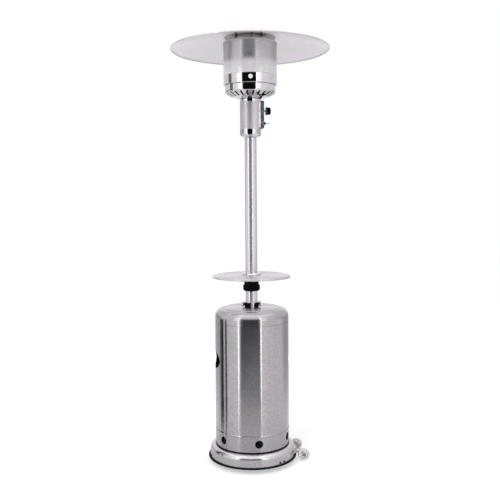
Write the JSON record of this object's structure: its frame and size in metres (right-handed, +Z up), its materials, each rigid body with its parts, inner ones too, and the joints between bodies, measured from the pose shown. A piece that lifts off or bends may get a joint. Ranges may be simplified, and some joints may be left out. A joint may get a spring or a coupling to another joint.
{
  "type": "patio heater",
  "caption": "Free-standing gas patio heater: wheeled round base, lifting tank housing, post with a sliding table, control box, slotted burner, perforated emitter and wide reflector dish.",
  "frame": {"origin": "centre of the round base at floor level, on the post's axis", "axes": "+Z up the post, -Y the front, +X the side with the control panel and the wheels"},
  "size_m": [0.812, 0.812, 2.221],
  "materials": {
    "brushed_stainless": "brushed",
    "polished_stainless": "polished",
    "emitter_steel": "fine perforated satin",
    "reflector_aluminium": "satin",
    "table_steel": "brushed",
    "black_plastic": "moulded",
    "knob_plastic": "semi-gloss moulded",
    "edge_rubber": "extruded",
    "white_ceramic": "glazed",
    "slate_paint": "powder coat",
    "wheel_plastic": "moulded",
    "leg_paint": "powder coat",
    "ballast_iron": "cast",
    "zinc_steel": "zinc plated",
    "brass_parts": "turned"
  },
  "bodies": {
    "root": {"base_pan": "brushed_stainless", "post": "brushed_stainless", "control_body": "brushed_stainless", "control_bottom_cap": "polished_stainless", "control_top_band": "polished_stainless", "burner_bowl": "polished_stainless", "emitter_band": "polished_stainless", "panel_frame": "polished_stainless", "emitter_screen": "emitter_steel", "emitter_top_cap": "emitter_steel", "reflector": "reflector_aluminium", "igniter_nut": "black_plastic", "igniter_body": "black_plastic", "axle_caps": "black_plastic", "tilt_switch": "black_plastic", "base_edge_trim": "edge_rubber", "base_feet": "edge_rubber", "light_hole_plug": "white_ceramic", "control_panel": "slate_paint", "support_leg_1": "leg_paint", "support_leg_2": "leg_paint", "support_leg_3": "leg_paint", "base_brackets": "leg_paint", "base_ballast": "ballast_iron", "skirt_screws": "zinc_steel", "leg_bolts": "zinc_steel", "leg_post_bolts": "zinc_steel", "wheel_bracket": "zinc_steel", "wheel_bracket_bolts": "zinc_steel", "wheel_axle": "zinc_steel", "panel_screws": "zinc_steel", "head_screws": "zinc_steel", "reflector_studs": "zinc_steel", "stud_spacers": "zinc_steel", "reflector_nuts": "zinc_steel", "burner_head": "zinc_steel", "pilot_burner": "zinc_steel", "gas_valve_body": "brass_parts", "valve_inlet_fitting": "brass_parts", "gas_riser": "brass_parts", "main_orifice": "brass_parts", "pilot_tube": "brass_parts", "thermocouple": "brass_parts", "igniter_electrode": "brass_parts"},
    "tank_housing": {"housing_shell": "brushed_stainless", "housing_top": "brushed_stainless", "housing_edge_trim": "edge_rubber", "housing_collar": "black_plastic"},
    "collar_screw_right": {"collar_screw_right": "black_plastic"},
    "collar_screw_left": {"collar_screw_left": "black_plastic"},
    "table": {"table_top": "table_steel", "table_hub": "polished_stainless", "table_clamp": "black_plastic"},
    "table_nut": {"table_clamp_nut": "black_plastic"},
    "valve_plug": {"valve_plug": "brass_parts"},
    "knob": {"control_knob": "knob_plastic", "knob_spindle": "zinc_steel"},
    "igniter_button": {"igniter_button": "zinc_steel"},
    "wheel_front": {"wheel_front": "wheel_plastic"},
    "wheel_rear": {"wheel_rear": "wheel_plastic"}
  },
  "joints": [
    {"name": "housing_lift", "type": "slide", "parent": "root", "child": "tank_housing", "axis": [0, 0, 1], "range_m": [0, 0.48]},
    {"name": "table_slide", "type": "slide", "parent": "tank_housing", "child": "table", "axis": [0, 0, 1], "range_m": [-0.05, 0.18]},
    {"name": "clamp_nut_turn", "type": "hinge", "parent": "table", "child": "table_nut", "pos_m": [0, 0, 0.917], "axis": [0, 0, 1], "range_deg": [0, 360]},
    {"name": "collar_screw_right_turn", "type": "hinge", "parent": "tank_housing", "child": "collar_screw_right", "pos_m": [0.0405, 0, 0.8255], "axis": [1, 0, 0], "range_deg": [0, 720]},
    {"name": "collar_screw_left_turn", "type": "hinge", "parent": "tank_housing", "child": "collar_screw_left", "pos_m": [-0.0405, 0, 0.8255], "axis": [-1, 0, 0], "range_deg": [0, 720]},
    {"name": "knob_turn", "type": "hinge", "parent": "root", "child": "valve_plug", "pos_m": [0.04, 0, 1.823], "axis": [1, 0, 0], "range_deg": [0, 180]},
    {"name": "knob_push", "type": "slide", "parent": "valve_plug", "child": "knob", "axis": [-1, 0, 0], "range_m": [0, 0.004], "stiffness_N_per_m": 1500, "springref_m": -0.002},
    {"name": "igniter_press", "type": "slide", "parent": "root", "child": "igniter_button", "axis": [-1, 0, 0], "range_m": [0, 0.006], "stiffness_N_per_m": 2000, "springref_m": -0.001},
    {"name": "wheel_front_spin", "type": "hinge", "parent": "root", "child": "wheel_front", "pos_m": [0.259, 0, 0.031], "axis": [0, 1, 0], "continuous": true},
    {"name": "wheel_rear_spin", "type": "hinge", "parent": "root", "child": "wheel_rear", "pos_m": [0.259, 0, 0.031], "axis": [0, 1, 0], "continuous": true}
  ]
}
